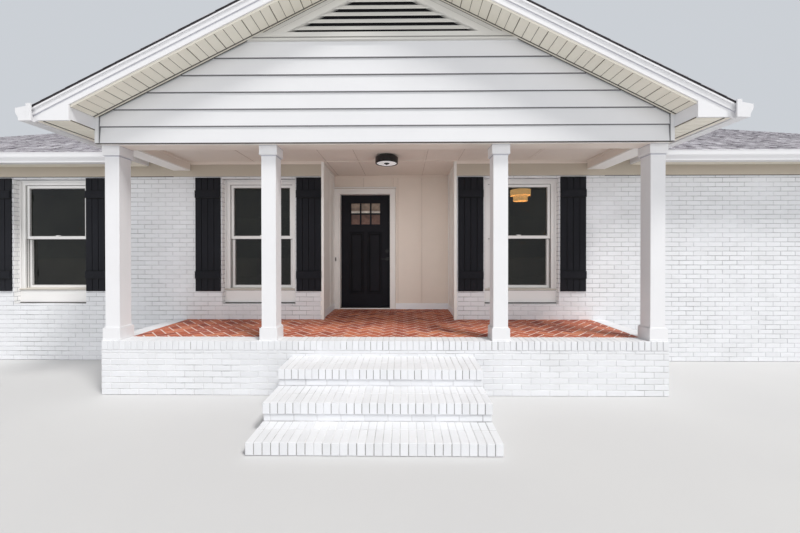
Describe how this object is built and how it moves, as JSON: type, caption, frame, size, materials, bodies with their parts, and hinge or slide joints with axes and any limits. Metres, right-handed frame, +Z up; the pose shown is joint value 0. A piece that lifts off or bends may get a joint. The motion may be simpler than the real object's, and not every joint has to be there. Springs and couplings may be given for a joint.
{
  "type": "bungalow",
  "caption": "Single-storey brick house with a gabled front porch, recessed front door, board shutters and a long pitched roof.",
  "frame": {"origin": "centre of the overall footprint, at ground level", "axes": "+X to the right along the front as seen from the street, +Y to the back of the house, +Z up"},
  "size_m": [17.85, 11.83, 5.0381],
  "materials": {
    "white_brick": "matt painted brick",
    "paver_brick": "matt fired clay with pale joints",
    "white_trim": "satin white paint",
    "siding": "matt white",
    "soffit": "matt beige, grooved",
    "shingles": "mineral granules",
    "gutter_metal": "gloss white coating",
    "window_frame": "satin white",
    "glass": "clear",
    "shutter_paint": "satin charcoal paint",
    "door_paint": "satin black paint",
    "black_metal": "satin black",
    "hinge_steel": "brushed",
    "floor_wood": "satin varnish",
    "plaster": "matt white",
    "lamp_shade": "warm translucent shade"
  },
  "bodies": {
    "house": {"step_bottom": "white_brick", "step_middle": "white_brick", "step_top": "white_brick", "porch_foundation": "white_brick", "porch_floor": "paver_brick", "front_wall_left": "white_brick", "front_wall_right": "white_brick", "back_wall": "white_brick", "end_walls": "white_brick", "entry_side_walls": "siding", "entry_wall_beside_door": "siding", "entry_wall_over_door": "siding", "end_gables": "siding", "house_floor": "floor_wood", "house_ceiling": "plaster", "frieze_boards": "white_trim", "roof_front_slope": "shingles", "roof_back_slope": "shingles", "porch_roof_left": "shingles", "porch_roof_right": "shingles", "ridge_caps": "shingles", "eave_fascias": "white_trim", "main_soffits": "soffit", "end_rake_boards": "white_trim", "porch_fascia": "white_trim", "porch_soffits": "soffit", "main_gutters": "gutter_metal", "porch_gutters": "gutter_metal", "porch_gable": "siding", "gable_vent": "white_trim", "porch_beam_front": "white_trim", "porch_side_beams": "white_trim", "porch_ceiling": "soffit", "porch_columns": "white_trim", "porch_windows": "window_frame", "wing_windows": "window_frame", "back_windows": "window_frame", "window_glass": "glass", "window_shutters": "shutter_paint", "door_frame": "white_trim", "hinge_jamb_leaves": "hinge_steel", "porch_lamp": "black_metal", "pendant_lamp": "lamp_shade"},
    "door": {"front_door": "door_paint", "door_glass": "glass", "door_lock": "black_metal", "hinge_door_leaves": "hinge_steel"},
    "lever": {"door_lever": "black_metal"}
  },
  "joints": [
    {"name": "front_door_hinge", "type": "hinge", "parent": "house", "child": "door", "pos_m": [-0.8905, -2.448, 1.635], "axis": [0, 0, 1], "range_deg": [0, 95]},
    {"name": "door_lever_turn", "type": "hinge", "parent": "door", "child": "lever", "pos_m": [-0.06, -2.4775, 1.491], "axis": [0, -1, 0], "range_deg": [0, 40], "stiffness_Nm_per_rad": 0.6, "springref_deg": -22.92}
  ]
}
